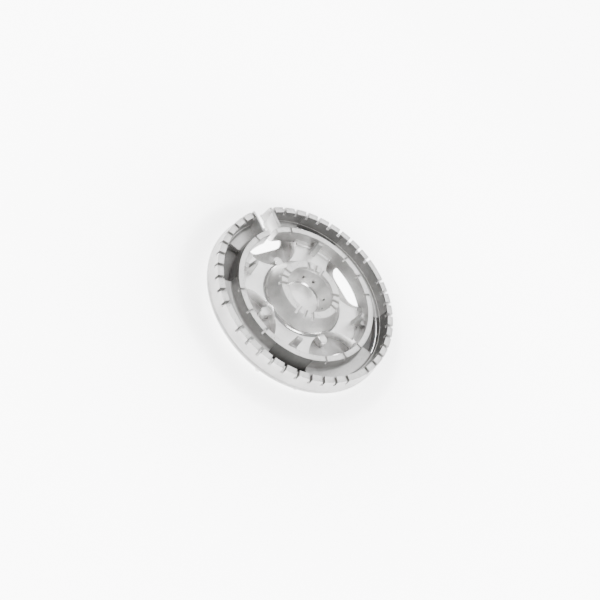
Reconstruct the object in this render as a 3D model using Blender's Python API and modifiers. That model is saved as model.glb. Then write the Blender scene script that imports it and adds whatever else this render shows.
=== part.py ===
"""Triple-ring gas burner head: a die-cast aluminium flame crown on its gas-duct base.

Units are metres, +Z is up, and the origin is on the crown's axis at the plane of its pegs' ends.
The ignition gap of the outer port ring faces +Y. The four spokes lie at 45, 135, 225 and 315
degrees, and the four air windows lie between them, at 0, 90, 180 and 270 degrees.
"""

import math

import bmesh
import bpy
from mathutils import Matrix, Vector

MM = 0.001
GAP = 0.3 * MM                       # clearance between pieces that rest on each other

# Heights above the feet
BASE_THICK = 1.5 * MM
SKIRT_BOTTOM = 1.8 * MM              # lower edge of the walls below the spoke deck
LUG_TOP = 6.8 * MM
FLANGE_BOTTOM = 5.9 * MM
SLAB_BOTTOM = 6.2 * MM               # underside of the deck and of the channel floor
FLOOR_TOP = 7.8 * MM                 # floor of the annular gas channel
DECK_TOP = 8.5 * MM
INNER_RING_TOP = 16.9 * MM
CUP_BRIM = 18.2 * MM
TOOTH_TOP = 18.25 * MM
HUB_TOP = 20.5 * MM

# Radii
BASE_RADIUS = 58.0 * MM
FLANGE_RADIUS = 65.0 * MM
TOOTH_OUTER_RADIUS = 63.3 * MM
TOOTH_INNER_RADIUS = 59.2 * MM
CHANNEL_RADIUS = 58.5 * MM           # foot of the outer ring's channel wall
INNER_RING_OUTER_RADIUS = 48.5 * MM
INNER_RING_INNER_RADIUS = 44.8 * MM
DECK_RADIUS = 43.9 * MM
HUB_FOOT_RADIUS = 28.9 * MM
HUB_RIM_RADIUS = 20.8 * MM
CUP_RADIUS = 16.0 * MM

# Ports
TOOTH_PITCHES = 44                   # ten slots and one long tooth in each quadrant
PORT_WIDTH = 1.8 * MM
PORT_DEPTH = 3.4 * MM
INNER_PORT_STEP = math.radians(18)   # three narrow ports over each air window
INNER_PORT_WIDTH = 1.1 * MM
INNER_PORT_DEPTH = 2.6 * MM
HUB_PORT_STEP = math.radians(15.5)   # three ports in the hub rim towards each spoke
HUB_PORT_WIDTH = 1.6 * MM
HUB_PORT_DEPTH = 2.0 * MM
CUP_HOLE_RADIUS = 0.95 * MM
CUP_HOLE_HEIGHT = 12.4 * MM

# Air windows: each is a circle that breaks into the inner ring's bore
WINDOW_CENTRE = 47.6 * MM
WINDOW_RADIUS = 21.5 * MM
SKIRT_THICK = 1.6 * MM
SKIRT_REACH = 57.0 * MM              # the window walls run on below the channel floor
BASE_WINDOW_NEAR = 40.3 * MM         # hub-side edge of the window in the base plate
BASE_WINDOW_FAR = 55.6 * MM
BASE_WINDOW_HALF = 15.6 * MM
BASE_WINDOW_CORNER = 6.5 * MM

# Gas openings in the channel floor, one over the end of each spoke duct
OPENING_HALF_ANGLE = math.radians(15)
OPENING_INNER = 50.4 * MM
OPENING_OUTER = 57.7 * MM
DUCT_WALL = 1.2 * MM
DUCT_HALF_WIDTH = 10.0 * MM

# Ignition gap: offsets from its centre line towards -X and towards +X
GAP_SIDES = (6.2 * MM, 6.2 * MM)
INNER_GAP_SIDES = (3.2 * MM, 2.9 * MM)
END_WALL_THICKS = (1.3 * MM, 2.2 * MM)
END_WALL_BOTTOM = 4.3 * MM

# Fins that centre the ring-shaped cap, one on each spoke against the inner ring
FIN_FOOT = 37.0 * MM                 # distance of the hub-side face from the axis
FIN_HEAD = 43.8 * MM
FIN_HALF_WIDTH = 1.9 * MM
FIN_LEDGE = 14.0 * MM                # height of the step between a fin and the inner ring
FIN_TOP = 20.4 * MM

# Fixing lugs and screws
LUG_RADIUS = 3.0 * MM
LUG_REACH = 29.8 * MM
SCREW_SHANK_RADIUS = 1.2 * MM
SCREW_HEAD_RADIUS = 2.6 * MM
SCREW_HEAD_TOP = 1.4 * MM
SCREW_TIP = 5.3 * MM

# Locating pegs under the outer ring, as angles about +Z
PEG_ANGLES = [math.radians(a) for a in (31, 56, 152, 211, 236, 332)]
PEG_CENTRE = 60.4 * MM
PEG_RADIUS = 1.9 * MM
PEG_SPIGOT_RADIUS = 1.1 * MM
PEG_SPIGOT_TOP = 9.0 * MM

WINDOW_ANGLES = [math.radians(a) for a in (0, 90, 180, 270)]
SPOKE_ANGLES = [math.radians(a) for a in (45, 135, 225, 315)]
IGNITION_ANGLE = math.radians(90)


def new_collection(name):
    collection = bpy.data.collections.new(name)
    bpy.context.scene.collection.children.link(collection)
    return collection


def metal(name, colour, roughness, metallic=1.0):
    material = bpy.data.materials.new(name)
    material.use_nodes = True
    shader = material.node_tree.nodes["Principled BSDF"]
    shader.inputs["Base Color"].default_value = (*colour, 1.0)
    shader.inputs["Roughness"].default_value = roughness
    shader.inputs["Metallic"].default_value = metallic
    return material


def add_object(name, mesh, collection, material=None):
    piece = bpy.data.objects.new(name, mesh)
    collection.objects.link(piece)
    if material:
        mesh.materials.append(material)
    return piece


def mesh_from(build, name):
    """Makes a mesh from a function that fills a bmesh."""
    solid = bmesh.new()
    build(solid)
    mesh = bpy.data.meshes.new(name)
    solid.to_mesh(mesh)
    solid.free()
    return mesh


def turned(name, profile, steps, collection, material=None):
    """Spins a closed profile of (radius, height) about Z; it runs down its outer side."""
    points = [(radius, 0.0, height) for radius, height in profile]
    edges = [(i, (i + 1) % len(points)) for i in range(len(points))]
    mesh = bpy.data.meshes.new(name)
    mesh.from_pydata(points, edges, [])
    piece = add_object(name, mesh, collection, material)
    screw = piece.modifiers.new("Turn", "SCREW")
    screw.steps = steps
    screw.render_steps = steps
    screw.use_merge_vertices = True
    screw.merge_threshold = 0.00001
    return piece


def arc(centre, radius, start, end, count):
    """Points of a fillet in the profile's plane, angles in degrees."""
    turn = [math.radians(start + (end - start) * i / (count - 1)) for i in range(count)]
    return [(centre[0] + radius * math.cos(a), centre[1] + radius * math.sin(a)) for a in turn]


def add_box(solid, low, high, angle=0.0):
    """Adds a box from corner to corner, turned about Z by angle."""
    size = [b - a for a, b in zip(low, high)]
    middle = [(a + b) / 2 for a, b in zip(low, high)]
    matrix = Matrix.Rotation(angle, 4, "Z") @ Matrix.Translation(middle) @ Matrix.Diagonal((*size, 1))
    return bmesh.ops.create_cube(solid, size=1.0, matrix=matrix)["verts"]


def add_cylinder(solid, centre, radius, low, high, segments=32):
    matrix = Matrix.Translation((centre[0], centre[1], (low + high) / 2))
    bmesh.ops.create_cone(solid, cap_ends=True, segments=segments, radius1=radius, radius2=radius,
                          depth=high - low, matrix=matrix)


def polar(radius, angle):
    return (radius * math.cos(angle), radius * math.sin(angle))


def cutter(name, build, collection):
    piece = add_object(name, mesh_from(build, name), collection)
    piece.hide_render = True
    piece.display_type = "WIRE"
    return piece


def combine(piece, tool, operation):
    modifier = piece.modifiers.new(tool.name, "BOOLEAN")
    modifier.operation = operation
    modifier.solver = "EXACT"
    modifier.object = tool
    return modifier


def sector(solid, inner, outer, half_angle, angle, low, high, steps=10):
    """Adds a closed block between two radii and two angles, made by extruding its outline."""
    turns = [angle - half_angle + 2 * half_angle * i / steps for i in range(steps + 1)]
    outline = [polar(outer, a) for a in turns] + [polar(inner, a) for a in reversed(turns)]
    add_prism(solid, outline, low, high)


def add_prism(solid, outline, low, high):
    """Extrudes a flat outline, counter-clockwise from above, from low to high."""
    base = solid.faces.new([solid.verts.new((x, y, low)) for x, y in outline])
    top = bmesh.ops.extrude_face_region(solid, geom=[base])["geom"]
    raised = [item for item in top if isinstance(item, bmesh.types.BMVert)]
    bmesh.ops.translate(solid, verts=raised, vec=Vector((0, 0, high - low)))
    bmesh.ops.recalc_face_normals(solid, faces=solid.faces)


def turned_outline(outline, angle):
    cos, sin = math.cos(angle), math.sin(angle)
    return [(cos * x - sin * y, sin * x + cos * y) for x, y in outline]


def outer_port_ring(parts, tools, material):
    """The skirt and the castellated port wall, open at the ignition gap."""
    ring = turned("outer_port_ring", [
        (TOOTH_OUTER_RADIUS, TOOTH_TOP),
        (64.3 * MM, FLANGE_BOTTOM + 2.6 * MM),
        (FLANGE_RADIUS, FLANGE_BOTTOM + 1.3 * MM),
        (FLANGE_RADIUS, FLANGE_BOTTOM),
        (CHANNEL_RADIUS, FLANGE_BOTTOM),
        (CHANNEL_RADIUS, 9.4 * MM),
        (TOOTH_INNER_RADIUS, TOOTH_TOP),
    ], TOOTH_PITCHES * 2, parts, material)

    def ports(solid):
        for pitch in range(TOOTH_PITCHES):
            if pitch % 11 == 0:
                continue
            angle = IGNITION_ANGLE + pitch * math.tau / TOOTH_PITCHES
            add_box(solid, (TOOTH_INNER_RADIUS - 2 * MM, -PORT_WIDTH / 2, TOOTH_TOP - PORT_DEPTH),
                    (FLANGE_RADIUS + 2 * MM, PORT_WIDTH / 2, TOOTH_TOP + 2 * MM), angle)

    def gap(solid):
        add_box(solid, (CHANNEL_RADIUS - 3 * MM, -GAP_SIDES[1], 0),
                (FLANGE_RADIUS + 3 * MM, GAP_SIDES[0], TOOTH_TOP + 3 * MM), IGNITION_ANGLE)

    def sockets(solid):
        for angle in PEG_ANGLES:
            add_cylinder(solid, polar(PEG_CENTRE, angle), PEG_SPIGOT_RADIUS + GAP,
                         FLANGE_BOTTOM - MM, PEG_SPIGOT_TOP + GAP, 12)

    combine(ring, cutter("outer_ports", ports, tools), "DIFFERENCE")
    combine(ring, cutter("outer_gap", gap, tools), "DIFFERENCE")
    combine(ring, cutter("peg_sockets", sockets, tools), "DIFFERENCE")


def inner_port_ring(parts, tools, material):
    """The inner wall of the gas channel, with its narrow ports and its gap."""
    foot = FLOOR_TOP + GAP
    fillet = arc((50.6 * MM, foot + 1.5 * MM), 1.4 * MM, 180, 255, 4)
    ring = turned("inner_port_ring", [
        (INNER_RING_OUTER_RADIUS, INNER_RING_TOP),
        *fillet,
        (50.2 * MM, foot),
        (INNER_RING_INNER_RADIUS - 0.6 * MM, foot),
        (INNER_RING_INNER_RADIUS, INNER_RING_TOP),
    ], 80, parts, material)

    def ports(solid):
        for window in WINDOW_ANGLES:
            for step in (-1, 0, 1):
                if window == IGNITION_ANGLE and step == 0:
                    continue
                add_box(solid, (40 * MM, -INNER_PORT_WIDTH / 2, INNER_RING_TOP - INNER_PORT_DEPTH),
                        (54 * MM, INNER_PORT_WIDTH / 2, INNER_RING_TOP + 2 * MM),
                        window + step * INNER_PORT_STEP)

    def gap(solid):
        add_box(solid, (40 * MM, -INNER_GAP_SIDES[1], 0),
                (54 * MM, INNER_GAP_SIDES[0], INNER_RING_TOP + 2 * MM), IGNITION_ANGLE)

    combine(ring, cutter("inner_ports", ports, tools), "DIFFERENCE")
    combine(ring, cutter("inner_gap", gap, tools), "DIFFERENCE")


def channel_floor(parts, tools, material):
    """The floor between the port rings: four gas openings, and end walls at the ignition gap."""
    inner = 45.7 * MM
    outer = CHANNEL_RADIUS - GAP
    floor = turned("channel_floor", [
        (outer, FLOOR_TOP + 1.2 * MM),
        (outer, SLAB_BOTTOM),
        (inner, SLAB_BOTTOM),
        (inner, FLOOR_TOP),
        (57.0 * MM, FLOOR_TOP),
        (57.8 * MM, FLOOR_TOP + 0.4 * MM),
    ], 80, parts, material)

    def openings(solid):
        for spoke in SPOKE_ANGLES:
            sector(solid, OPENING_INNER, OPENING_OUTER, OPENING_HALF_ANGLE, spoke,
                   SLAB_BOTTOM - MM, FLOOR_TOP + 3 * MM)

    def end_walls(solid):
        sides = ((GAP_SIDES[0] - MM, GAP_SIDES[0] + END_WALL_THICKS[0]),
                 (-GAP_SIDES[1] - END_WALL_THICKS[1], MM - GAP_SIDES[1]))
        for right, left in sides:
            corners = add_box(solid, (50.8 * MM, right, END_WALL_BOTTOM),
                              (57.7 * MM, left, TOOTH_TOP), IGNITION_ANGLE)
            for corner in corners:
                if corner.co.z > END_WALL_BOTTOM + MM and corner.co.y < 54 * MM:
                    corner.co.z = INNER_RING_TOP

    def gap(solid):
        add_box(solid, (40 * MM, -GAP_SIDES[1], 0),
                (70 * MM, GAP_SIDES[0], TOOTH_TOP + 3 * MM), IGNITION_ANGLE)

    combine(floor, cutter("gas_openings", openings, tools), "DIFFERENCE")
    combine(floor, cutter("end_wall_blocks", end_walls, tools), "UNION")
    combine(floor, cutter("floor_gap", gap, tools), "DIFFERENCE")


def window_cylinders(radius, low, high, segments=64):
    def build(solid):
        for window in WINDOW_ANGLES:
            add_cylinder(solid, polar(WINDOW_CENTRE, window), radius, low, high, segments)
    return build


def spoke_deck(parts, tools, material):
    """The deck of four broad spokes round the hub, with walls below the edges of its windows."""
    ledge = 45.4 * MM
    bore = 22.3 * MM
    deck = turned("spoke_deck", [
        (DECK_RADIUS, DECK_TOP + 1.0 * MM),
        (DECK_RADIUS, FLOOR_TOP),
        (ledge, FLOOR_TOP),
        (ledge, SLAB_BOTTOM),
        (bore, SLAB_BOTTOM),
        (bore, DECK_TOP),
        (43.0 * MM, DECK_TOP),
    ], 72, parts, material)

    skirt = turned("skirt_blank", [
        (DECK_RADIUS, SLAB_BOTTOM + 0.5 * MM),
        (DECK_RADIUS, FLANGE_BOTTOM - GAP),
        (SKIRT_REACH, FLANGE_BOTTOM - GAP),
        (SKIRT_REACH, SKIRT_BOTTOM),
        (bore, SKIRT_BOTTOM),
        (bore, SLAB_BOTTOM + 0.5 * MM),
    ], 72, tools)
    skirt.hide_render = True
    skirt.display_type = "WIRE"

    def lugs(solid):
        root = 25.2 * MM
        bend = [math.radians(degrees) for degrees in range(-75, 90, 15)]
        outline = [(root, -LUG_RADIUS), (LUG_REACH, -LUG_RADIUS)]
        outline += [(LUG_REACH + LUG_RADIUS * math.cos(a), LUG_RADIUS * math.sin(a)) for a in bend]
        outline += [(LUG_REACH, LUG_RADIUS), (root, LUG_RADIUS)]
        for window in WINDOW_ANGLES:
            add_prism(solid, turned_outline(outline, window), SKIRT_BOTTOM, LUG_TOP)

    def screw_holes(solid):
        for window in WINDOW_ANGLES:
            add_cylinder(solid, polar(LUG_REACH, window), SCREW_SHANK_RADIUS + GAP, 0,
                         SCREW_TIP + 0.5 * MM, 16)

    def fin_seats(solid):
        half = FIN_HALF_WIDTH + GAP
        for spoke in SPOKE_ANGLES:
            add_box(solid, (FIN_FOOT, -half, DECK_TOP), (46 * MM, half, DECK_TOP + 3 * MM), spoke)

    outside = window_cylinders(WINDOW_RADIUS + SKIRT_THICK, 0, 12 * MM)
    inside = window_cylinders(WINDOW_RADIUS, -MM, 14 * MM)
    combine(skirt, cutter("skirt_outside", outside, tools), "INTERSECT")
    combine(deck, skirt, "UNION")
    combine(deck, cutter("deck_windows", inside, tools), "DIFFERENCE")
    combine(deck, cutter("fixing_lugs", lugs, tools), "UNION")
    combine(deck, cutter("lug_holes", screw_holes, tools), "DIFFERENCE")
    combine(deck, cutter("fin_seats", fin_seats, tools), "DIFFERENCE")


def cap_fins(parts, material):
    """Four upright fins round the ring cap's bore, each with a step down to the inner ring."""
    foot = DECK_TOP + GAP
    side = [
        (FIN_FOOT, foot),
        (FIN_HEAD, foot),
        (FIN_HEAD, FIN_LEDGE),
        (41.2 * MM, FIN_LEDGE),
        (39.8 * MM, FIN_TOP - 0.5 * MM),
        (39.3 * MM, FIN_TOP),
        (38.4 * MM, FIN_TOP),
        (37.9 * MM, FIN_TOP - 0.5 * MM),
    ]
    for number, spoke in enumerate(SPOKE_ANGLES, start=1):
        name = f"cap_fin_{number}"

        def fin(solid, angle=spoke):
            add_prism(solid, side, -FIN_HALF_WIDTH, FIN_HALF_WIDTH)
            upright = Matrix.Rotation(angle, 3, "Z") @ Matrix.Rotation(math.radians(90), 3, "X")
            bmesh.ops.rotate(solid, verts=solid.verts, matrix=upright)

        add_object(name, mesh_from(fin, name), parts, material)


def hub_cone(parts, tools, material):
    """The raised centre: a conical wall whose slotted rim carries the centre flame."""
    foot = DECK_TOP + GAP
    fillet = arc((29.4 * MM, foot + 3.1 * MM), 3.1 * MM, 194, 258, 5)
    hub = turned("hub_cone", [
        (HUB_RIM_RADIUS, HUB_TOP),
        *fillet,
        (HUB_FOOT_RADIUS, foot),
        (22.6 * MM, foot),
        (18.9 * MM, 17.0 * MM),
        (CUP_RADIUS, CUP_BRIM + GAP),
        (CUP_RADIUS, HUB_TOP),
    ], 72, parts, material)

    def ports(solid):
        for spoke in SPOKE_ANGLES:
            for step in (-1, 0, 1):
                add_box(solid, (13 * MM, -HUB_PORT_WIDTH / 2, HUB_TOP - HUB_PORT_DEPTH),
                        (25 * MM, HUB_PORT_WIDTH / 2, HUB_TOP + 2 * MM), spoke + step * HUB_PORT_STEP)

    windows = window_cylinders(WINDOW_RADIUS, 0, HUB_TOP)
    combine(hub, cutter("hub_ports", ports, tools), "DIFFERENCE")
    combine(hub, cutter("hub_windows", windows, tools), "DIFFERENCE")


def hub_cup(parts, tools, material):
    """The cup inside the hub: a sloping wall with gas holes and a gently domed floor."""
    wall = 1.4 * MM
    lip = (12.3 * MM, 8.6 * MM)
    floor_radius = 11.6 * MM
    floor_top = 7.9 * MM
    bottom = 6.0 * MM
    cup = turned("hub_cup", [
        (CUP_RADIUS + 1.1 * MM, CUP_BRIM - 0.5 * MM),
        (CUP_RADIUS + 1.1 * MM, CUP_BRIM - 1.4 * MM),
        (lip[0] + wall, lip[1]),
        (floor_radius + 0.8 * MM, bottom),
        (0.0, bottom + 0.7 * MM),
        (0.0, floor_top + 1.1 * MM),
        (5.0 * MM, floor_top + 0.9 * MM),
        (9.0 * MM, floor_top + 0.4 * MM),
        (floor_radius, floor_top),
        lip,
        (CUP_RADIUS, CUP_BRIM),
        (CUP_RADIUS + 0.3 * MM, CUP_BRIM),
    ], 48, parts, material)

    def holes(solid):
        for spoke in SPOKE_ANGLES:
            for side in (-1, 1):
                matrix = (Matrix.Rotation(spoke + side * HUB_PORT_STEP, 4, "Z")
                          @ Matrix.Translation((14.5 * MM, 0, CUP_HOLE_HEIGHT))
                          @ Matrix.Rotation(math.radians(90), 4, "Y"))
                bmesh.ops.create_cone(solid, cap_ends=True, segments=12, radius1=CUP_HOLE_RADIUS,
                                      radius2=CUP_HOLE_RADIUS, depth=6 * MM, matrix=matrix)

    combine(cup, cutter("cup_holes", holes, tools), "DIFFERENCE")


def duct_outline(inset):
    """Plan of one spoke duct along +X, with its side and outer walls moved in by inset."""
    neck = DUCT_HALF_WIDTH - inset
    flare = 15.0 * MM - inset
    far = CHANNEL_RADIUS - 0.6 * MM - inset
    near = 23.5 * MM - 4 * inset
    edge = math.asin(flare / far)
    outline = [(near, -neck), (43.0 * MM, -neck), (50.0 * MM, -flare)]
    outline += [polar(far, edge * (i / 5 - 1)) for i in range(11)]
    outline += [(50.0 * MM, flare), (43.0 * MM, neck), (near, neck)]
    return outline


def spoke_ducts(parts, tools, material):
    """One open-topped gas duct under each spoke, from the hub to its channel opening."""
    bottom = BASE_THICK + GAP
    top = FLANGE_BOTTOM
    for number, spoke in enumerate(SPOKE_ANGLES, start=1):
        name = f"spoke_duct_{number}"

        def shell(solid, angle=spoke):
            add_prism(solid, turned_outline(duct_outline(0), angle), bottom, top)

        def hollow(solid, angle=spoke):
            outline = turned_outline(duct_outline(DUCT_WALL), angle)
            add_prism(solid, outline, bottom + DUCT_WALL, top + 3 * MM)

        duct = add_object(name, mesh_from(shell, name), parts, material)
        combine(duct, cutter(f"duct_hollow_{number}", hollow, tools), "DIFFERENCE")


def base_plate(parts, tools, material):
    """The plate that closes the burner from below, with an air window below each deck window."""
    inlet_radius = 11.4 * MM
    plate = turned("base_plate", [
        (BASE_RADIUS, BASE_THICK),
        (BASE_RADIUS, 0.0),
        (inlet_radius, 0.0),
        (inlet_radius, BASE_THICK),
    ], 64, parts, material)

    def windows(solid):
        near, half = BASE_WINDOW_NEAR, BASE_WINDOW_HALF
        edge = math.asin(half / BASE_WINDOW_FAR)
        outline = [(near, BASE_WINDOW_CORNER - half), (near + BASE_WINDOW_CORNER, -half)]
        outline += [polar(BASE_WINDOW_FAR, edge * (i / 5 - 1)) for i in range(11)]
        outline += [(near + BASE_WINDOW_CORNER, half), (near, half - BASE_WINDOW_CORNER)]
        for window in WINDOW_ANGLES:
            add_prism(solid, turned_outline(outline, window), -MM, BASE_THICK + MM)

    def screw_seats(solid):
        for window in WINDOW_ANGLES:
            matrix = Matrix.Translation((*polar(LUG_REACH, window), BASE_THICK / 2))
            bmesh.ops.create_cone(solid, cap_ends=True, segments=16, radius1=SCREW_HEAD_RADIUS + 2 * GAP,
                                  radius2=SCREW_SHANK_RADIUS + GAP, depth=BASE_THICK + 0.4 * MM,
                                  matrix=matrix)

    def gap(solid):
        add_box(solid, (BASE_WINDOW_NEAR + BASE_WINDOW_CORNER, -GAP_SIDES[1], -MM),
                (FLANGE_RADIUS, GAP_SIDES[0], BASE_THICK + MM), IGNITION_ANGLE)

    combine(plate, cutter("base_windows", windows, tools), "DIFFERENCE")
    combine(plate, cutter("base_gap", gap, tools), "DIFFERENCE")
    combine(plate, cutter("screw_seats", screw_seats, tools), "DIFFERENCE")


def inlet_collar(parts, material):
    """The centre collar that takes the gas and air mixture from the hob's injector holder."""
    turned("inlet_collar", [
        (10.0 * MM, 3.6 * MM),
        (13.4 * MM, 2.6 * MM),
        (13.4 * MM, BASE_THICK + GAP),
        (11.1 * MM, BASE_THICK + GAP),
        (11.1 * MM, 0.0),
        (9.4 * MM, 0.0),
        (8.4 * MM, 1.2 * MM),
        (8.4 * MM, 3.6 * MM),
    ], 48, parts, material)


def base_screws(parts, material):
    """Countersunk screws that clamp the base plate to the deck's lugs."""
    head_bottom = 0.2 * MM
    profile = [
        (0.0, SCREW_TIP),
        (0.7 * MM, SCREW_TIP),
        (SCREW_SHANK_RADIUS, SCREW_TIP - 0.6 * MM),
        (SCREW_SHANK_RADIUS, SCREW_HEAD_TOP),
        (SCREW_HEAD_RADIUS, head_bottom + 0.1 * MM),
        (SCREW_HEAD_RADIUS, head_bottom),
        (0.9 * MM, head_bottom),
        (0.0, head_bottom + 0.7 * MM),
    ]
    for number, window in enumerate(WINDOW_ANGLES, start=1):
        screw = turned(f"base_screw_{number}", profile, 16, parts, material)
        screw.location = (*polar(LUG_REACH, window), 0)


def locating_pegs(parts, material):
    """Pegs pressed into the outer ring's underside, which centre the burner in the hob."""
    shoulder = FLANGE_BOTTOM - GAP
    chamfer = 0.4 * MM
    profile = [
        (0.0, PEG_SPIGOT_TOP),
        (PEG_SPIGOT_RADIUS, PEG_SPIGOT_TOP),
        (PEG_SPIGOT_RADIUS, shoulder),
        (PEG_RADIUS, shoulder),
        (PEG_RADIUS, chamfer),
        (PEG_RADIUS - chamfer, 0.0),
        (0.0, 0.0),
    ]
    for number, angle in enumerate(PEG_ANGLES, start=1):
        peg = turned(f"locating_peg_{number}", profile, 12, parts, material)
        peg.location = (*polar(PEG_CENTRE, angle), 0)


def main():
    for item in list(bpy.data.objects):
        bpy.data.objects.remove(item, do_unlink=True)
    parts = new_collection("burner_head")
    tools = new_collection("burner_head_cutters")

    cast = metal("cast_aluminium", (0.78, 0.77, 0.76), 0.42)
    fine_cast = metal("fine_cast_aluminium", (0.80, 0.79, 0.78), 0.34)
    dark_cast = metal("heat_darkened_aluminium", (0.40, 0.39, 0.38), 0.55)
    steel = metal("zinc_plated_steel", (0.62, 0.61, 0.58), 0.35)

    outer_port_ring(parts, tools, cast)
    inner_port_ring(parts, tools, cast)
    channel_floor(parts, tools, fine_cast)
    spoke_deck(parts, tools, fine_cast)
    cap_fins(parts, fine_cast)
    hub_cone(parts, tools, cast)
    hub_cup(parts, tools, fine_cast)
    spoke_ducts(parts, tools, dark_cast)
    base_plate(parts, tools, dark_cast)
    inlet_collar(parts, dark_cast)
    base_screws(parts, steel)
    locating_pegs(parts, cast)


main()
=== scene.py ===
import math

import bmesh
import bpy
from mathutils import Matrix, Vector


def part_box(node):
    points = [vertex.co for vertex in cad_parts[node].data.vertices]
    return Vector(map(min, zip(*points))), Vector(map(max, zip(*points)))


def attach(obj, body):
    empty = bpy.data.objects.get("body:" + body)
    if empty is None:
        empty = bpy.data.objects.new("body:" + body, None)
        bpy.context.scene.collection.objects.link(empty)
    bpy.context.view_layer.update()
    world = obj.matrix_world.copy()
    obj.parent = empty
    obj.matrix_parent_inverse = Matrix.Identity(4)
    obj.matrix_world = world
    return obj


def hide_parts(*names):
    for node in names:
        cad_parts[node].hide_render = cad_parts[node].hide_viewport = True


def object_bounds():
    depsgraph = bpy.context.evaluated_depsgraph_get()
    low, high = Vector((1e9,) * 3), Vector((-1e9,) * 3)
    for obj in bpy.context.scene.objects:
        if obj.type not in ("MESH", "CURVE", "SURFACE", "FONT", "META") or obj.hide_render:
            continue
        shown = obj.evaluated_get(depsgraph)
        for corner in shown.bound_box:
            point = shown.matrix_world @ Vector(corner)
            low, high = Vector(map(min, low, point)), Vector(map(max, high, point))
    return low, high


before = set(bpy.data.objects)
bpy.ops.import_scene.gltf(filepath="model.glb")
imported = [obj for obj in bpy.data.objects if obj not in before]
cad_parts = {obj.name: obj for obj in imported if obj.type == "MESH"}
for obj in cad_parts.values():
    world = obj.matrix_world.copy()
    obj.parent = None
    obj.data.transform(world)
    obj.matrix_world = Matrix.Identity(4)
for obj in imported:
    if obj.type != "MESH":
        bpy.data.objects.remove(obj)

CAD_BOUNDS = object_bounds()
MM = 0.001

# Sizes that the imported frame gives
SKIRT_LOW, SKIRT_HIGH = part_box("outer_port_ring")
FLANGE_RADIUS = -SKIRT_LOW.y
FLANGE_BOTTOM = SKIRT_LOW.z
TOOTH_TOP = SKIRT_HIGH.z
INNER_RING_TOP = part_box("inner_port_ring")[1].z
WALL_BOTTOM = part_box("spoke_deck")[0].z - 0.35 * MM
DECK_RADIUS = -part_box("spoke_deck")[0].x
SLAB_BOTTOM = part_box("channel_floor")[0].z
HUB_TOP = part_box("hub_cone")[1].z
CUP_BOTTOM, CUP_BRIM = (corner.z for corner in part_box("hub_cup"))
BASE_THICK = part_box("base_plate")[1].z
BASE_RADIUS = -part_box("base_plate")[0].y
FIN_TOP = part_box("cap_fin_1")[1].z
COLLAR_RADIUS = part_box("inlet_collar")[1].x
COLLAR_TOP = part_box("inlet_collar")[1].z

# Port rings
TOOTH_OUTER = FLANGE_RADIUS - 1.7 * MM
TOOTH_INNER = FLANGE_RADIUS - 5.8 * MM
CHANNEL_OUTER = FLANGE_RADIUS - 6.5 * MM
CHANNEL_INNER = 49.2 * MM
CHANNEL_MIDDLE = 53 * MM
LEDGE_TOP = 9.75 * MM                # the bead at the foot of the channel's outer wall
INNER_RING = (44.8 * MM, 48.5 * MM)
PITCHES = 44
PORT_WIDTH = 1.85 * MM
PORT_FLOORS = (TOOTH_TOP - 3.0 * MM, TOOTH_TOP - 4.0 * MM)      # at the inner and outer face
INNER_PORT_WIDTH = 1.15 * MM
INNER_PORT_FLOORS = (INNER_RING_TOP - 2.5 * MM, INNER_RING_TOP - 2.9 * MM)
INNER_PORT_STEP = math.radians(18)
GAP_SIDES = (6.2 * MM, 6.2 * MM)
END_WALLS = (1.3 * MM, 2.2 * MM)     # thickness of the wall on each side of the ignition gap
END_WALL_BOTTOM = 4.3 * MM
INNER_GAP_SIDES = (3.2 * MM, 2.9 * MM)

# Deck and hub
FLOOR_TOP = 7.8 * MM
DECK_TOP = 8.5 * MM
WINDOW_CENTRE = 47.6 * MM
WINDOW_RADIUS = 21.5 * MM
WINDOW_WALL = 1.6 * MM
WALL_REACH = 57.0 * MM               # the window walls run on below the channel floor
DECK_EDGE = 44.9 * MM
CONE_FOOT = (25.9 * MM, 10.7 * MM)
HUB_RIM = 20.8 * MM
CUP_RADIUS = 16.0 * MM
HUB_PORT_STEP = math.radians(15.5)
HUB_PORT_WIDTH = 1.65 * MM
HUB_PORT_FLOORS = (HUB_TOP - 1.9 * MM, HUB_TOP - 2.2 * MM)
CUP_HOLE = (0.95 * MM, 12.4 * MM)    # radius and height
LUG_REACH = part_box("base_screw_1")[0].x / 2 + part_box("base_screw_1")[1].x / 2
LUG_RADIUS = 2.9 * MM
LUG_TOP = 6.8 * MM
LUG_HOLE = (1.5 * MM, 5.8 * MM)      # radius and top of the blind screw hole
OPENING_HALF = math.radians(15)

WINDOWS = [math.radians(a) for a in (0, 90, 180, 270)]
SPOKES = [math.radians(a) for a in (45, 135, 225, 315)]
IGNITION = math.radians(90)


# Mesh tools

def polar(radius, angle):
    """The (x, y) of a place given by its radius and angle."""
    return (radius * math.cos(angle), radius * math.sin(angle))


def rounded(corners, steps=4):
    """A closed outline through (radius, height, rounding) corners."""
    outline = []
    for index, (radius, height, rounding) in enumerate(corners):
        here = Vector((radius, height))
        if not rounding:
            outline.append((radius, height))
            continue
        before = (Vector(corners[index - 1][:2]) - here).normalized()
        after = (Vector(corners[(index + 1) % len(corners)][:2]) - here).normalized()
        half = math.acos(max(-1, min(1, before.dot(after)))) / 2
        centre = here + (before + after).normalized() * rounding / math.sin(half)
        start = here + before * rounding / math.tan(half) - centre
        end = here + after * rounding / math.tan(half) - centre
        turn = math.atan2(start.x * end.y - start.y * end.x, start.dot(end))
        for step in range(steps + 1):
            angle = turn * step / steps
            outline.append((centre.x + start.x * math.cos(angle) - start.y * math.sin(angle),
                            centre.y + start.x * math.sin(angle) + start.y * math.cos(angle)))
    return outline


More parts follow.
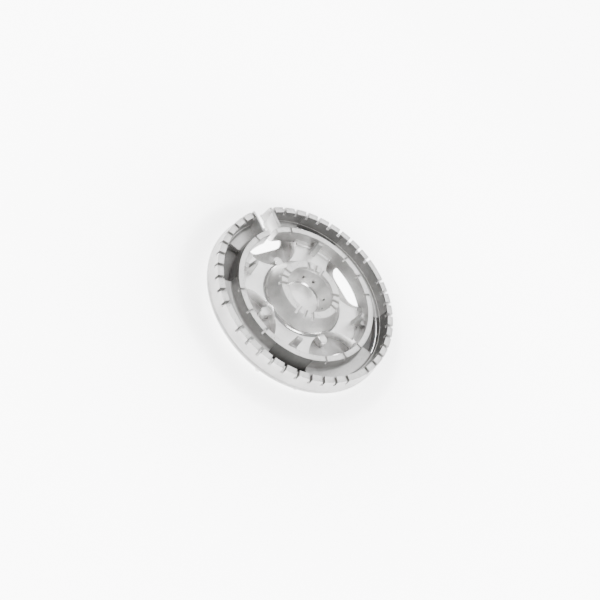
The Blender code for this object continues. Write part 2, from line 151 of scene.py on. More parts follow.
def finished(name, mesh, crease=math.radians(38)):
    """Turns a bmesh into an object, smooth apart from edges sharper than crease."""
    bmesh.ops.remove_doubles(mesh, verts=mesh.verts, dist=0.002 * MM)
    bmesh.ops.recalc_face_normals(mesh, faces=mesh.faces)
    data = bpy.data.meshes.new(name)
    mesh.to_mesh(data)
    mesh.free()
    piece = bpy.data.objects.new(name, data)
    bpy.context.scene.collection.objects.link(piece)
    smooth(piece, crease)
    return piece


def smooth(piece, crease=math.radians(38)):
    """Shades a piece smooth, apart from edges sharper than crease."""
    mesh = bmesh.new()
    mesh.from_mesh(piece.data)
    for face in mesh.faces:
        face.smooth = True
    for edge in mesh.edges:
        edge.smooth = len(edge.link_faces) == 2 and edge.calc_face_angle(0) < crease
    mesh.to_mesh(piece.data)
    mesh.free()


def swept(name, stations, closed=True):
    """Joins profiles that stand at (angle, sideways offset, profile) round the axis."""
    mesh = bmesh.new()
    rows = []
    for angle, offset, profile in stations:
        rows.append([mesh.verts.new((*polar(r, angle + (math.asin(offset / r) if offset else 0)), z))
                     for r, z in profile])
    for near, far in zip(rows, rows[1:] + rows[:1] if closed else rows[1:]):
        for i in range(len(near)):
            j = (i + 1) % len(near)
            mesh.faces.new((near[i], near[j], far[j], far[i]))
    if not closed:
        mesh.faces.new(rows[0])
        mesh.faces.new(rows[-1][::-1])
    return finished(name, mesh)


def turned(name, profile, steps=180):
    """Spins a closed profile of (radius, height) about Z."""
    mesh = bmesh.new()
    flat = [mesh.verts.new((r, 0, z)) for r, z in profile]
    rim = [mesh.edges.new((flat[i - 1], flat[i])) for i in range(len(flat))]
    bmesh.ops.spin(mesh, geom=rim, cent=(0, 0, 0), axis=(0, 0, 1), angle=math.tau, steps=steps,
                   use_merge=True)
    bmesh.ops.dissolve_degenerate(mesh, dist=0.001 * MM, edges=mesh.edges)
    return finished(name, mesh)


def prism(name, outline, low, high, angle=0.0):
    """Stands a flat outline up between two heights, turned about the axis by angle."""
    mesh = bmesh.new()
    rings = []
    for height in (low, high):
        rings.append([mesh.verts.new((x, y, height)) for x, y in outline])
    for i in range(len(outline)):
        j = (i + 1) % len(outline)
        mesh.faces.new((rings[0][i], rings[0][j], rings[1][j], rings[1][i]))
    mesh.faces.new(rings[0][::-1])
    mesh.faces.new(rings[1])
    bmesh.ops.rotate(mesh, verts=mesh.verts, matrix=Matrix.Rotation(angle, 3, "Z"))
    return finished(name, mesh)


def cylinder(name, centre, radius, low, high, segments=96):
    outline = [(centre[0] + radius * math.cos(math.tau * i / segments),
                centre[1] + radius * math.sin(math.tau * i / segments)) for i in range(segments)]
    return prism(name, outline, low, high)


def settle(piece):
    """Applies a piece's modifiers to its mesh."""
    seen = bpy.context.evaluated_depsgraph_get()
    data = bpy.data.meshes.new_from_object(piece.evaluated_get(seen))
    piece.modifiers.clear()
    piece.data = data
    data.name = piece.name


def cut(piece, tools, operation="DIFFERENCE"):
    """Applies tools to a piece with a boolean, and removes them."""
    for tool in tools:
        modifier = piece.modifiers.new("cut", "BOOLEAN")
        modifier.operation = operation
        modifier.solver = "EXACT"
        modifier.object = tool
    settle(piece)
    for tool in tools:
        bpy.data.objects.remove(tool, do_unlink=True)


def soften(piece, width, segments=3, angle=40):
    """Rounds a piece's sharp edges."""
    mesh = bmesh.new()
    mesh.from_mesh(piece.data)
    bmesh.ops.remove_doubles(mesh, verts=mesh.verts, dist=0.01 * MM)
    bmesh.ops.dissolve_degenerate(mesh, dist=0.01 * MM, edges=mesh.edges)
    mesh.to_mesh(piece.data)
    mesh.free()
    modifier = piece.modifiers.new("edges", "BEVEL")
    modifier.width = width
    modifier.segments = segments
    modifier.limit_method = "ANGLE"
    modifier.angle_limit = math.radians(angle)
    modifier.miter_outer = "MITER_ARC"
    modifier.use_clamp_overlap = True
    settle(piece)
    smooth(piece)


def join(piece, others):
    """Adds the meshes of other objects to a piece's own."""
    mesh = bmesh.new()
    mesh.from_mesh(piece.data)
    for other in others:
        mesh.from_mesh(other.data)
        bpy.data.objects.remove(other, do_unlink=True)
    mesh.to_mesh(piece.data)
    mesh.free()


def joined(name, pieces):
    """Makes one object out of several."""
    first, *others = pieces
    join(first, others)
    first.name = name
    return first


def slotted(profile, floors, radii, share):
    """Brings the part of a profile above a slot's floor down towards it by a share from 0 to 1."""
    slope = (floors[1] - floors[0]) / (radii[1] - radii[0])
    return [(r, z - share * max(0.0, z - floors[0] - slope * (r - radii[0]))) for r, z in profile]


def slot_path(width, depth, edge=0.3 * MM):
    """(sideways offset, share of the depth) across a slot with rounded brims and corners."""
    half = width / 2
    bend = edge / depth
    side = [(-half - edge, 0), (-half - 0.3 * edge, 0.3 * bend), (-half, bend), (-half, 1 - bend),
            (-half + 0.3 * edge, 1 - 0.3 * bend), (-half + edge, 1)]
    return side + [(-offset, share) for offset, share in reversed(side)]


def ring_stations(profile, slots, width, floors, radii, sides=None, fill=math.radians(2.2)):
    """Stations for a slotted ring; sides are the offsets of a gap at the ignition angle."""
    borders = [IGNITION + (spoke + s * OPENING_HALF - IGNITION) % math.tau
               for spoke in SPOKES for s in (-1, 1)]
    path = slot_path(width, profile[0][1] - sum(floors) / 2)
    stations = []
    middle = sum(radii) / 2
    reach = math.asin((width / 2 + 0.3 * MM) / middle)
    if sides:
        centre_r = sum(r for r, z in profile) / len(profile)
        centre_z = sum(z for r, z in profile) / len(profile)
        inset = 0.3 * MM
        shrunk = [(r - inset * (1 if r > centre_r else -1), z - inset * (1 if z > centre_z else -1))
                  for r, z in profile]
        stations += [(IGNITION, sides[0], shrunk), (IGNITION, sides[0] + inset, profile)]
        start = IGNITION + math.asin((sides[0] + inset) / middle)
        end = IGNITION + math.tau - math.asin((sides[1] + inset) / middle)
    else:
        start, end = IGNITION, IGNITION + math.tau
    marks = sorted(IGNITION + (slot - IGNITION) % math.tau for slot in slots)
    edges = [start] + [m + s * reach for m in marks for s in (-1, 1)] + [end]
    for index in range(0, len(edges), 2):
        low, high = edges[index], edges[index + 1]
        count = max(1, round((high - low) / fill))
        angles = [low + (high - low) * k / count for k in range(1, count)]
        angles = [a for a in angles if all(abs(a - b) > fill / 5 for b in borders)]
        angles += [b for b in borders if low < b < high]
        stations += [(a, 0, profile) for a in sorted(angles)]
        if index // 2 < len(marks):
            stations += [(marks[index // 2], offset, slotted(profile, floors, radii, share))
                         for offset, share in path]
    if sides:
        stations += [(IGNITION + math.tau, -sides[1] - inset, profile),
                     (IGNITION + math.tau, -sides[1], shrunk)]
    return stations


# Materials

def surface(name, dark, light, roughness, grain, pits, bump, metallic=1.0):
    """Cast metal: colour that drifts between two tints, uneven gloss, fine grain and small pits.

    Grain is the fineness of the relief; pits is how dark the specks on upward faces are.
    """
    material = bpy.data.materials.new(name + "_finish")
    material["slot"] = name
    material.use_nodes = True
    nodes, links = material.node_tree.nodes, material.node_tree.links
    shader = nodes["Principled BSDF"]
    shader.inputs["Metallic"].default_value = metallic
    place = nodes.new("ShaderNodeTexCoord").outputs["Object"]

    def noise(scale, detail, rough=0.55):
        texture = nodes.new("ShaderNodeTexNoise")
        texture.inputs["Scale"].default_value = scale
        texture.inputs["Detail"].default_value = detail
        texture.inputs["Roughness"].default_value = rough
        links.new(place, texture.inputs["Vector"])
        return texture.outputs["Fac"]

    def spread(value, low, high, to_low, to_high):
        ranged = nodes.new("ShaderNodeMapRange")
        for socket, number in zip(("From Min", "From Max", "To Min", "To Max"),
                                  (low, high, to_low, to_high)):
            ranged.inputs[socket].default_value = number
        links.new(value, ranged.inputs["Value"])
        return ranged.outputs["Result"]

    def blend(share, first, second):
        mixed = nodes.new("ShaderNodeMix")
        mixed.data_type = "RGBA"
        links.new(share, mixed.inputs["Factor"])
        for socket, colour in ((mixed.inputs[6], first), (mixed.inputs[7], second)):
            if isinstance(colour, tuple):
                socket.default_value = (*colour, 1)
            else:
                links.new(colour, socket)
        return mixed.outputs[2]

    colour = blend(spread(noise(90, 4), 0.35, 0.65, 0, 1), dark, light)
    speck = spread(noise(grain * 0.8, 2, 0.5), 0.62, 0.72, 0, pits)
    facing = nodes.new("ShaderNodeNewGeometry")
    upright = nodes.new("ShaderNodeSeparateXYZ")
    links.new(facing.outputs["Normal"], upright.inputs["Vector"])
    top = spread(upright.outputs["Z"], 0.75, 0.97, 0.25, 1)
    share = nodes.new("ShaderNodeMath")
    share.operation = "MULTIPLY"
    links.new(speck, share.inputs[0])
    links.new(top, share.inputs[1])
    colour = blend(share.outputs[0], colour, tuple(0.45 * c for c in dark))
    links.new(colour, shader.inputs["Base Color"])
    links.new(spread(noise(grain * 0.35, 5), 0.3, 0.7, roughness[0], roughness[1]),
              shader.inputs["Roughness"])
    relief = nodes.new("ShaderNodeBump")
    relief.inputs["Strength"].default_value = bump
    relief.inputs["Distance"].default_value = 0.06 * MM
    links.new(noise(grain, 6, 0.6), relief.inputs["Height"])
    links.new(relief.outputs["Normal"], shader.inputs["Normal"])
    return material


CAST = surface("cast_aluminium", (0.68, 0.675, 0.665), (0.80, 0.795, 0.785),
               roughness=(0.42, 0.56), grain=1500, pits=0.95, bump=0.5)
FINE_CAST = surface("fine_cast_aluminium", (0.74, 0.735, 0.725), (0.86, 0.855, 0.845),
                    roughness=(0.36, 0.48), grain=1900, pits=0.3, bump=0.3)
# Painted highlight: a lighter, glossier copy of the fine cast finish for rounded edges
EDGE_HIGHLIGHT_CAST = surface("fine_cast_aluminium", (0.88, 0.875, 0.865), (0.94, 0.935, 0.925),
                    roughness=(0.16, 0.24), grain=1900, pits=0.1, bump=0.15)
# Painted shade: a darker copy of the cast aluminium for the channel's walls and floor and the fins
CHANNEL_SHADE_CAST = surface("cast_aluminium", (0.47, 0.467, 0.46), (0.56, 0.556, 0.55),
                       roughness=(0.42, 0.55), grain=1500, pits=0.5, bump=0.45)
# Painted shade: near black, for the channel walls beside each gas opening and for the ducts and collar
# seen through the openings
DARK_SHADE_CAST = surface("heat_darkened_aluminium", (0.16, 0.158, 0.154), (0.21, 0.207, 0.202),
                    roughness=(0.4, 0.55), grain=1100, pits=0.5, bump=0.4, metallic=0.0)
# Painted shade: a darker copy of the aluminium for the bottom plate and the skirt's outer faces
PLATE_SHADE_CAST = surface("heat_darkened_aluminium", (0.36, 0.355, 0.35), (0.44, 0.435, 0.43),
                     roughness=(0.35, 0.5), grain=1300, pits=0.5, bump=0.3)
STEEL = surface("zinc_plated_steel", (0.52, 0.51, 0.48), (0.62, 0.61, 0.58),
                roughness=(0.25, 0.35), grain=2400, pits=0.2, bump=0.15)


def channel_side(piece, inward):
    """Paints shade on a ring's side walls: darker copies of the cast finish, on the skirt's outer faces
    too, darkest on the channel side beside each gas opening.
    """
    mesh = piece.data
    for material in (DARK_SHADE_CAST, CHANNEL_SHADE_CAST, PLATE_SHADE_CAST):
        mesh.materials.append(material)
    dark, shaded, skirt = 1, 2, 3
    for face in mesh.polygons:
        middle, normal = face.center, face.normal
        outward = normal.x * middle.x + normal.y * middle.y
        radius = math.hypot(middle.x, middle.y)
        if abs(normal.z) > 0.6:
            continue
        # Painted shade: the skirt's outer faces take the darker plate finish
        if radius > TOOTH_INNER + 0.2 * MM:
            face.material_index = skirt
            continue
        if abs(normal.x * middle.y - normal.y * middle.x) > 0.5 * radius:
            continue
        # Painted shade: the other side walls take the darker channel finish
        face.material_index = shaded
        if (outward < 0) != inward or radius < CHANNEL_INNER - 1.0 * MM:
            continue
        turn = math.atan2(middle.y, middle.x)
        # Painted shade: near black on the channel side beside each gas opening
        if any(abs((turn - spoke + math.pi) % math.tau - math.pi) < OPENING_HALF for spoke in SPOKES):
            face.material_index = dark


def painted_highlight_edges(piece, chosen):
    """Paints highlights on the rounded edges that `chosen` picks: a lighter, glossier finish that shines
    as bright lines.
    """
    piece.data.materials.append(EDGE_HIGHLIGHT_CAST)
    for face in piece.data.polygons:
        if 0.12 < face.normal.z < 0.97 and chosen(face.center):
            face.material_index = len(piece.data.materials) - 1


def place(piece, material, *nodes):
    """Gives a piece its material and lets it stand for its CAD nodes."""
    piece.data.materials.clear()
    piece.data.materials.append(material)
    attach(piece, "root")
    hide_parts(*nodes)
    return piece


# Port rings

def wall_point(top, foot, height):
    """An unrounded corner at a height on the slanting wall between two points."""
    share = (top[1] - height) / (top[1] - foot[1])
    return (top[0] + share * (foot[0] - top[0]), height, 0)


def outer_ring():
    """The skirt with its flange and the toothed port wall, open at the ignition gap."""
    top_out, bend = (TOOTH_OUTER, TOOTH_TOP), (FLANGE_RADIUS - 0.75 * MM, FLANGE_BOTTOM + 2.7 * MM)
    top_in, foot_in = (TOOTH_INNER, TOOTH_TOP), (CHANNEL_OUTER + 0.01 * MM, LEDGE_TOP)
    profile = rounded([
        (*top_out, 0.25 * MM),
        wall_point(top_out, bend, PORT_FLOORS[1] - 0.05 * MM),
        (*bend, 1.5 * MM),
        (FLANGE_RADIUS, FLANGE_BOTTOM + 1.5 * MM, 0.5 * MM),
        (FLANGE_RADIUS, FLANGE_BOTTOM, 0.3 * MM),
        (CHANNEL_OUTER - 0.35 * MM, FLANGE_BOTTOM, 0),
        (CHANNEL_OUTER - 0.35 * MM, foot_in[1], 0.15 * MM),
        (CHANNEL_OUTER, foot_in[1], 0),
        (*foot_in, 0),
        wall_point(top_in, foot_in, PORT_FLOORS[0]),
        (*top_in, 0.2 * MM),
    ])
    slots = [IGNITION + k * math.tau / PITCHES for k in range(PITCHES) if k % 11]
    stations = ring_stations(profile, slots, PORT_WIDTH, PORT_FLOORS, (TOOTH_INNER, TOOTH_OUTER),
                             GAP_SIDES)
    ring = place(swept("outer_crown", stations, closed=False), CAST, "outer_port_ring")
    channel_side(ring, inward=True)


def inner_ring():
    """The inner wall of the gas channel, with its narrow ports and its own gap."""
    top_out, foot_out = (INNER_RING[1], INNER_RING_TOP), (CHANNEL_INNER + 0.02 * MM, 9.5 * MM)
    top_in, foot_in = (INNER_RING[0], INNER_RING_TOP), (44.3 * MM, SLAB_BOTTOM + 2.3 * MM)
    profile = rounded([
        (*top_out, 0.3 * MM),
        wall_point(top_out, foot_out, INNER_PORT_FLOORS[1]),
        (*foot_out, 0),
        (CHANNEL_INNER + 0.3 * MM, SLAB_BOTTOM + 0.5 * MM, 0),
        (46.6 * MM, SLAB_BOTTOM + 0.1 * MM, 0.2 * MM),
        (*foot_in, 0.3 * MM),
        wall_point(top_in, foot_in, INNER_PORT_FLOORS[0]),
        (*top_in, 0.3 * MM),
    ])
    slots = [window + step * INNER_PORT_STEP for window in WINDOWS for step in (-1, 0, 1)
             if step or window != IGNITION]
    stations = ring_stations(profile, slots, INNER_PORT_WIDTH, INNER_PORT_FLOORS, INNER_RING,
                             INNER_GAP_SIDES)
    ring = place(swept("inner_crown", stations, closed=False), CAST, "inner_port_ring")
    channel_side(ring, inward=False)


def channel():
    """The channel's floor with its fillets and gas openings, and the walls at the ignition gap."""
    outline = rounded([
        (CHANNEL_INNER, 9.8 * MM, 0),
        (CHANNEL_INNER + 0.05 * MM, FLOOR_TOP, 1.7 * MM),
        (CHANNEL_OUTER - 0.4 * MM, FLOOR_TOP, 1.7 * MM),
        (CHANNEL_OUTER - 0.4 * MM, 9.6 * MM, 0),
        (CHANNEL_OUTER + 0.4 * MM, 9.6 * MM, 0),
        (CHANNEL_OUTER + 0.4 * MM, SLAB_BOTTOM, 0),
        (47.0 * MM, SLAB_BOTTOM, 0),
        (47.0 * MM, FLOOR_TOP, 0),
        (CHANNEL_INNER - 0.4 * MM, 9.8 * MM, 0),
    ], 7)
    count = 160
    span = (GAP_SIDES[0], math.tau * CHANNEL_MIDDLE - GAP_SIDES[1])
    stations = [(IGNITION, GAP_SIDES[0], outline)]
    stations += [(IGNITION + (span[0] + (span[1] - span[0]) * k / count) / CHANNEL_MIDDLE, 0, outline)
                 for k in range(1, count)]
    stations += [(IGNITION + math.tau, -GAP_SIDES[1], outline)]
    floor = swept("gas_channel", stations, closed=False)

    tools = []
    near, far, half = CHANNEL_INNER - 1.2 * MM, CHANNEL_OUTER + MM, OPENING_HALF
    for spoke in SPOKES:
        turns = [half * (k / 12 - 1) for k in range(25)]
        plan = [polar(far, a) for a in turns] + [polar(near, a) for a in reversed(turns)]
        tools.append(prism("opening", plan, SLAB_BOTTOM - MM, FLOOR_TOP + 3 * MM, spoke))
    cut(floor, tools)

    soften(floor, 0.2 * MM, 2)
    near, far = CHANNEL_INNER - 0.9 * MM, TOOTH_INNER + 0.4 * MM
    for side, thick in ((GAP_SIDES[0], END_WALLS[0]), (-GAP_SIDES[1], -END_WALLS[1])):
        plan = [(near, side), (far, side), (far, side + thick), (near, side + thick)]
        wall = prism("end_wall", plan, END_WALL_BOTTOM, TOOTH_TOP, IGNITION)
        for corner in wall.data.vertices:
            share = (corner.co.y - near) / (far - near)
            if corner.co.z > FLOOR_TOP:
                corner.co.z = INNER_RING_TOP + share * (TOOTH_TOP - INNER_RING_TOP) - 0.1 * MM
            else:
                corner.co.z = BASE_THICK + 0.3 * MM + share * (FLANGE_BOTTOM - BASE_THICK - MM)
        soften(wall, 0.3 * MM, 3)
        join(floor, [wall])
    # Painted shade: the channel floor takes the darker copy of the cast finish
    place(floor, CHANNEL_SHADE_CAST, "channel_floor")


# Deck and hub

def window_tools(radius, low, high):
    """Cylinders about the centres of the four air windows."""
    return [cylinder("window", polar(WINDOW_CENTRE, window), radius, low, high, 160)
            for window in WINDOWS]


def deck():
    """The spokes, with the lower part of the hub's fillet, window walls and fixing lugs."""
    bore = 22.0 * MM
    foot = CONE_FOOT
    piece = turned("spokes", rounded([
        (foot[0] - 0.3 * MM, foot[1] + 0.6 * MM, 0),
        (foot[0] + 0.9 * MM, DECK_TOP, 2.6 * MM),
        (DECK_RADIUS - 1.4 * MM, DECK_TOP, 1.2 * MM),
        (44.2 * MM, DECK_TOP + 1.7 * MM, 0),
        (DECK_EDGE, DECK_TOP + 1.7 * MM, 0),
        (DECK_EDGE, SLAB_BOTTOM, 0),
        (bore, SLAB_BOTTOM, 0),
        (bore, foot[1] + 0.6 * MM, 0),
    ], 8), 240)
    lap, step = SLAB_BOTTOM + 0.5 * MM, FLANGE_BOTTOM - 0.1 * MM
    walls = turned("window_walls", [
        (DECK_EDGE - 0.3 * MM, lap), (DECK_EDGE - 0.3 * MM, step),
        (WALL_REACH, step), (WALL_REACH, WALL_BOTTOM),
        (bore, WALL_BOTTOM), (bore, lap),
    ], 240)
    cut(walls, [joined("outsides", window_tools(WINDOW_RADIUS + WINDOW_WALL, 0, 12 * MM))],
        "INTERSECT")
    cut(piece, [walls], "UNION")
    cut(piece, window_tools(WINDOW_RADIUS, -MM, 24 * MM))
    soften(piece, 0.55 * MM, 4)

    lugs = []
    root = 24.6 * MM
    bend = [math.radians(degrees) for degrees in range(-84, 90, 12)]
    plan = [(root, -LUG_RADIUS), (LUG_REACH, -LUG_RADIUS)]
    plan += [(LUG_REACH + LUG_RADIUS * math.cos(a), LUG_RADIUS * math.sin(a)) for a in bend]
    plan += [(LUG_REACH, LUG_RADIUS), (root, LUG_RADIUS)]
    for window in WINDOWS:
        lug = prism("lug", plan, WALL_BOTTOM, LUG_TOP, window)
        cut(lug, [cylinder("hole", polar(LUG_REACH, window), LUG_HOLE[0], 0, LUG_HOLE[1], 32)])
        soften(lug, 0.4 * MM, 3)
        lugs.append(lug)
    join(piece, lugs)
    place(piece, FINE_CAST, "spoke_deck")

    # Painted highlight on the window brims and the hub's fillet foot
    def rim(point):
        place = point.xy
        window = min((place - Vector(polar(WINDOW_CENTRE, a))).length for a in WINDOWS)
        at_window = point.z > DECK_TOP - 0.8 * MM and window < WINDOW_RADIUS + 0.8 * MM
        return at_window or place.length < CONE_FOOT[0] + 2.6 * MM

    painted_highlight_edges(piece, rim)


def hub():
    """The cone with its slotted rim, hollow inside where the cup sits."""
    rim_out, foot = (HUB_RIM, HUB_TOP), (CONE_FOOT[0] + 0.03 * MM, CONE_FOOT[1])
    profile = rounded([
        (*rim_out, 0.45 * MM),
        wall_point(rim_out, foot, HUB_PORT_FLOORS[1]),
        (*foot, 0),
        (22.6 * MM, DECK_TOP, 0),
        (18.9 * MM, 17.0 * MM, 0),
        (CUP_RADIUS, CUP_BRIM - 0.4 * MM, 0),
        (CUP_RADIUS, HUB_PORT_FLOORS[0], 0),
        (CUP_RADIUS, HUB_TOP, 0.4 * MM),
    ])
    slots = [spoke + step * HUB_PORT_STEP for spoke in SPOKES for step in (-1, 0, 1)]
    stations = ring_stations(profile, slots, HUB_PORT_WIDTH, HUB_PORT_FLOORS, (CUP_RADIUS, HUB_RIM))
    place(swept("hub", stations), CAST, "hub_cone")


def cup():
    """The cup in the hub: a sloping wall with gas holes, a small lip and a domed floor."""
    lip = (12.4 * MM, 8.8 * MM)
    floor = CUP_BOTTOM + 1.7 * MM
    piece = turned("cup", rounded([
        (CUP_RADIUS + 0.9 * MM, CUP_BRIM - 0.1 * MM, 0),
        (CUP_RADIUS + 0.9 * MM, CUP_BRIM - 1.4 * MM, 0),
        (lip[0] + 1.4 * MM, lip[1], 0),
        (lip[0], CUP_BOTTOM, 0),
        (0, CUP_BOTTOM + 0.7 * MM, 0),
        (0, floor + 1.3 * MM, 0),
        (4.0 * MM, floor + 1.15 * MM, 0),
        (8.0 * MM, floor + 0.6 * MM, 0),
        (11.5 * MM, floor, 0.6 * MM),
        (*lip, 0.5 * MM),
        (CUP_RADIUS - 0.1 * MM, CUP_BRIM - 0.2 * MM, 0.5 * MM),
    ], 5), 144)
    tools = []
    for spoke in SPOKES:
        for side in (-1, 1):
            hole = cylinder("hole", (0, 0), CUP_HOLE[0], -3 * MM, 3 * MM, 28)
            turn = (Matrix.Rotation(spoke + side * HUB_PORT_STEP, 4, "Z")
                    @ Matrix.Translation((14.5 * MM, 0, CUP_HOLE[1]))
                    @ Matrix.Rotation(math.radians(90), 4, "Y"))
            hole.data.transform(turn)
            tools.append(hole)
    cut(piece, tools)
    smooth(piece)
    place(piece, FINE_CAST, "hub_cup")
    # Painted highlight along the cup's lip
    painted_highlight_edges(piece, lambda point: lip[0] - 0.4 * MM < point.xy.length < lip[0] + 0.5 * MM)


def fins():
    """Upright fins on the spokes, each with a ledge behind it that meets the inner ring."""
    foot, ledge, half = DECK_TOP - 0.3 * MM, 14.0 * MM, 1.9 * MM
    side = rounded([
        (36.9 * MM, foot, 0),
        (DECK_EDGE, foot, 0),
        (DECK_EDGE, ledge, 0),
        (41.1 * MM, ledge, 0.5 * MM),
        (39.7 * MM, FIN_TOP, 0.45 * MM),
        (37.9 * MM, FIN_TOP, 0.45 * MM),
    ], 3)
    for number, spoke in enumerate(SPOKES, start=1):
        mesh = bmesh.new()
        rows = [[mesh.verts.new((x, y, z)) for x, z in side] for y in (-half, half)]
        for i in range(len(side)):
            j = (i + 1) % len(side)
            mesh.faces.new((rows[0][i], rows[0][j], rows[1][j], rows[1][i]))
        mesh.faces.new(rows[0][::-1])
        mesh.faces.new(rows[1])
        bmesh.ops.rotate(mesh, verts=mesh.verts, matrix=Matrix.Rotation(spoke, 3, "Z"))
        fin = finished(f"fin_{number}", mesh)
        soften(fin, 0.35 * MM, 3, 50)
        # Painted shade: the fins take the darker copy of the cast finish
        place(fin, CHANNEL_SHADE_CAST, f"cap_fin_{number}")


# Base

def base():
    """The bottom plate: inlet, air windows, a slot below the ignition gap, and screw sinks."""
    inlet = 11.4 * MM
    plate = turned("bottom_plate", rounded([
        (BASE_RADIUS, BASE_THICK, 0.3 * MM), (BASE_RADIUS, 0, 0.3 * MM),
        (inlet, 0, 0.2 * MM), (inlet, BASE_THICK, 0.2 * MM),
    ], 3), 200)
    near, far, half, corner = 40.3 * MM, 55.6 * MM, 15.6 * MM, 8.0 * MM
    edge = math.asin(half / far)
    bend = [math.radians(degrees) for degrees in range(0, 91, 15)]
    plan = [(near + corner * (1 - math.sin(a)), -half + corner * (1 - math.cos(a)))
            for a in reversed(bend)]
    plan += [polar(far, edge * (k / 10 - 1)) for k in range(21)]
    plan += [(near + corner * (1 - math.sin(a)), half - corner * (1 - math.cos(a))) for a in bend]
    tools = [prism("window", plan, -MM, BASE_THICK + MM, window) for window in WINDOWS]
    gap = [(near + corner, -GAP_SIDES[1]), (FLANGE_RADIUS, -GAP_SIDES[1]),
           (FLANGE_RADIUS, GAP_SIDES[0]), (near + corner, GAP_SIDES[0])]
    tools.append(prism("gap", gap, -MM, BASE_THICK + MM, IGNITION))
    for window in WINDOWS:
        sink = turned("sink", [(0, 1.9 * MM), (1.4 * MM, 1.9 * MM), (1.4 * MM, 1.5 * MM),
                               (3.2 * MM, -0.2 * MM), (3.2 * MM, -MM), (0, -MM)], 48)
        sink.data.transform(Matrix.Translation((*polar(LUG_REACH, window), 0)))
        tools.append(sink)
    cut(plate, tools)
    soften(plate, 0.2 * MM, 2)
    # Painted shade: the bottom plate takes the darker copy of the aluminium
    place(plate, PLATE_SHADE_CAST, "base_plate")


def duct_plan(inset):
    """A duct's outline along +X: a straight neck that flares below the gas opening."""
    neck, flare = 10 * MM - inset, 15 * MM - inset
    far, near = BASE_RADIUS - 0.1 * MM - inset, 23.5 * MM - 4 * inset
    start, end = 43 * MM, 50 * MM
    edge = math.asin(flare / far)
    plan = [(near, -neck), (start, -neck), (end, -flare)]
    plan += [polar(far, edge * (k / 8 - 1)) for k in range(17)]
    return plan + [(end, flare), (start, neck), (near, neck)]


def ducts():
    """One open-topped duct under each spoke, from the hub to its gas opening."""
    wall = 1.2 * MM
    low, high = BASE_THICK - 0.1 * MM, FLANGE_BOTTOM + 0.2 * MM
    for number, spoke in enumerate(SPOKES, start=1):
        duct = prism(f"duct_{number}", duct_plan(0), low, high, spoke)
        cut(duct, [prism("hollow", duct_plan(wall), low + wall, high + MM, spoke)])
        soften(duct, 0.25 * MM, 2)
        # Painted shade: the ducts are near black, as the cavity under the gas openings
        place(duct, DARK_SHADE_CAST, f"spoke_duct_{number}")


def collar():
    """The throat for the gas and air mixture, in the middle of the bottom plate."""
    low, neck, bore = BASE_THICK - 0.05 * MM, 11.2 * MM, 8.4 * MM
    piece = turned("throat", rounded([
        (10.0 * MM, COLLAR_TOP, 0.5 * MM),
        (COLLAR_RADIUS, COLLAR_TOP - MM, 0.4 * MM),
        (COLLAR_RADIUS, low, 0), (neck, low, 0), (neck, 0, 0.2 * MM),
        (bore + MM, 0, 0.3 * MM), (bore, 1.2 * MM, 0.5 * MM), (bore, COLLAR_TOP, 0.4 * MM),
    ]), 120)
    # Painted shade: the collar is near black, as the cavity under the crown
    place(piece, DARK_SHADE_CAST, "inlet_collar")


def screws():
    """Countersunk cross-head screws, heads down, each under its lug."""
    shank, head = 1.2 * MM, 2.6 * MM
    for number, window in enumerate(WINDOWS, start=1):
        low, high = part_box(f"base_screw_{number}")
        profile = rounded([
            (0, high.z, 0), (0.8 * MM, high.z, 0.1 * MM), (shank, high.z - 0.6 * MM, 0.2 * MM),
            (shank, 1.4 * MM, 0), (head, low.z + 0.15 * MM, 0.1 * MM),
            (head - 0.1 * MM, low.z, 0), (shank, low.z, 0), (0, low.z, 0),
        ], 3)
        screw = turned(f"screw_{number}", profile, 48)
        arms = []
        reach, half = 1.5 * MM, 0.3 * MM
        for turn in (0, math.radians(90)):
            arm = prism("arm", [(-reach, -half), (reach, -half), (reach, half), (-reach, half)],
                        low.z - MM, low.z + 0.9 * MM, turn + math.radians(20 * number))
            for corner in arm.data.vertices:
                if corner.co.z > low.z:
                    corner.co.x *= 0.35
                    corner.co.y *= 0.35
            arms.append(arm)
        cut(screw, arms)
        smooth(screw)
        screw.data.transform(Matrix.Translation((*polar(LUG_REACH, window), 0)))
        place(screw, STEEL, f"base_screw_{number}")


def pegs():
    """Short pegs below the flange, with a small fillet at the root."""
    root = 0.5 * MM
    for number in range(1, 7):
        low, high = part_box(f"locating_peg_{number}")
        radius = (high.x - low.x) / 2
        profile = rounded([
            (0, FLANGE_BOTTOM + root, 0), (radius + root, FLANGE_BOTTOM + root, 0),
            (radius, FLANGE_BOTTOM - root, root), (radius - 0.12 * MM, low.z, 0.45 * MM),
            (0, low.z, 0),
        ])
        peg = turned(f"peg_{number}", profile, 48)
        peg.data.transform(Matrix.Translation(((low.x + high.x) / 2, (low.y + high.y) / 2, 0)))
        place(peg, CAST, f"locating_peg_{number}")


outer_ring()
inner_ring()
channel()
deck()
hub()
cup()
fins()
base()
ducts()
collar()
screws()
pegs()


# Studio

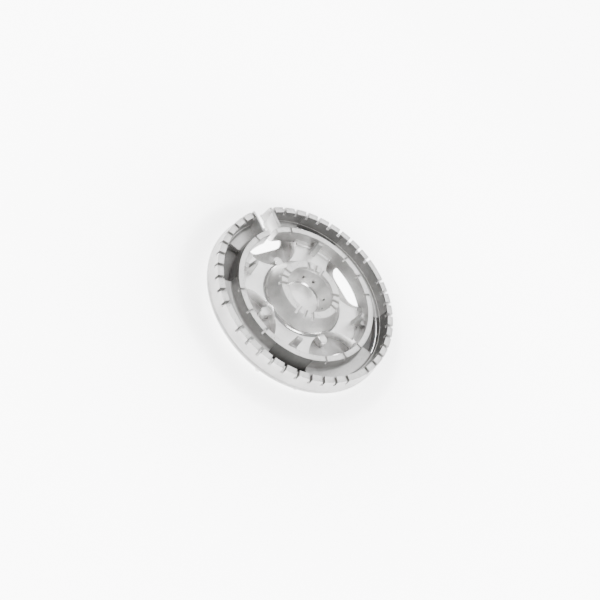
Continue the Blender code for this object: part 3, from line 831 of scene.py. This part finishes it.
def stage_floor():
    """A pale floor that gives off light, less of it close to the object: a painted contact shadow,
    darkest just outside the flange.
    """
    mesh = bmesh.new()
    bmesh.ops.create_grid(mesh, x_segments=1, y_segments=1, size=4.0,
                          matrix=Matrix.Translation((0, 0, CAD_BOUNDS[0].z - 0.05 * MM)))
    floor = finished("floor", mesh)
    material = bpy.data.materials.new("pale_floor")
    material.use_nodes = True
    nodes, links = material.node_tree.nodes, material.node_tree.links
    shader = nodes["Principled BSDF"]
    shader.inputs["Base Color"].default_value = (0.93, 0.93, 0.93, 1)
    shader.inputs["Roughness"].default_value = 0.85
    shader.inputs["Specular IOR Level"].default_value = 0.2
    shader.inputs["Emission Color"].default_value = (1, 1, 1, 1)

    reach = 0.4                          # metres from the axis over which the glow changes
    distance = nodes.new("ShaderNodeVectorMath")
    distance.operation = "LENGTH"
    links.new(nodes.new("ShaderNodeTexCoord").outputs["Object"], distance.inputs[0])
    share = nodes.new("ShaderNodeMath")
    share.operation = "DIVIDE"
    share.use_clamp = True
    share.inputs[1].default_value = reach
    links.new(distance.outputs["Value"], share.inputs[0])

    glow_with_painted_shadow = nodes.new("ShaderNodeFloatCurve")
    curve = glow_with_painted_shadow.mapping.curves[0]
    curve.points[0].location = (0, 0.9)
    curve.points[1].location = (1, 0.95)
    rim = FLANGE_RADIUS / reach
    # Painted shadow: the glow dips just outside the flange's rim and recovers further out
    for spot, level in ((0.85, 0.85), (1.05, 0.42), (1.3, 0.65), (2.0, 0.9)):
        curve.points.new(spot * rim, level)
    glow_with_painted_shadow.mapping.update()
    links.new(share.outputs[0], glow_with_painted_shadow.inputs["Value"])
    strength = nodes.new("ShaderNodeMath")
    strength.operation = "MULTIPLY"
    strength.inputs[1].default_value = 8.5
    links.new(glow_with_painted_shadow.outputs["Value"], strength.inputs[0])
    links.new(strength.outputs[0], shader.inputs["Emission Strength"])
    floor.data.materials.append(material)


def area_light(name, azimuth, elevation, distance, size, power):
    """A round lamp that faces the object from a direction in degrees."""
    lamp = bpy.data.lights.new(name, "AREA")
    lamp.shape = "DISK"
    lamp.size = size
    lamp.energy = power
    light = bpy.data.objects.new(name, lamp)
    bpy.context.scene.collection.objects.link(light)
    az, el = math.radians(azimuth), math.radians(elevation)
    light.location = (distance * math.cos(el) * math.cos(az), distance * math.cos(el) * math.sin(az),
                      distance * math.sin(el))
    light.rotation_euler = Vector(light.location).to_track_quat("Z", "Y").to_euler()


def sky():
    """An even white surround, slightly dimmer at the horizon."""
    world = bpy.data.worlds.new("studio")
    world.use_nodes = True
    nodes, links = world.node_tree.nodes, world.node_tree.links
    split = nodes.new("ShaderNodeSeparateXYZ")
    links.new(nodes.new("ShaderNodeTexCoord").outputs["Generated"], split.inputs["Vector"])
    ramp = nodes.new("ShaderNodeValToRGB")
    links.new(split.outputs["Z"], ramp.inputs["Fac"])
    ramp.color_ramp.elements[0].position = 0.0
    ramp.color_ramp.elements[0].color = (0.75, 0.75, 0.75, 1)
    ramp.color_ramp.elements[1].position = 0.8
    ramp.color_ramp.elements[1].color = (1, 1, 1, 1)
    background = nodes["Background"]
    links.new(ramp.outputs["Color"], background.inputs["Color"])
    background.inputs["Strength"].default_value = 0.4
    bpy.context.scene.world = world


def camera():
    """The photograph's viewpoint: above, from the side away from the ignition gap, rolled."""
    azimuth, elevation, roll = (math.radians(a) for a in (200.3, 46.15, 45.08))
    target, distance = Vector((0, 0, 16.5 * MM)), 0.561
    away = Vector((math.cos(elevation) * math.cos(azimuth), math.cos(elevation) * math.sin(azimuth),
                   math.sin(elevation)))
    right = Vector((0, 0, 1)).cross(away).normalized()
    up = away.cross(right)
    across = math.cos(roll) * right + math.sin(roll) * up
    upward = math.cos(roll) * up - math.sin(roll) * right
    data = bpy.data.cameras.new("camera")
    data.lens = 53.3
    data.sensor_width = 36
    data.shift_x = -0.01343
    data.shift_y = -0.01307
    data.clip_start = 0.01
    item = bpy.data.objects.new("camera", data)
    bpy.context.scene.collection.objects.link(item)
    turn = Matrix((across, upward, away)).transposed().to_4x4()
    item.matrix_world = Matrix.Translation(target + away * distance) @ turn
    bpy.context.scene.camera = item


stage_floor()
sky()
area_light("broad", azimuth=20, elevation=50, distance=1.3, size=1.1, power=10)
area_light("front", azimuth=245, elevation=40, distance=1.3, size=0.7, power=14)
area_light("spark", azimuth=110, elevation=72, distance=1.2, size=0.22, power=7)
camera()
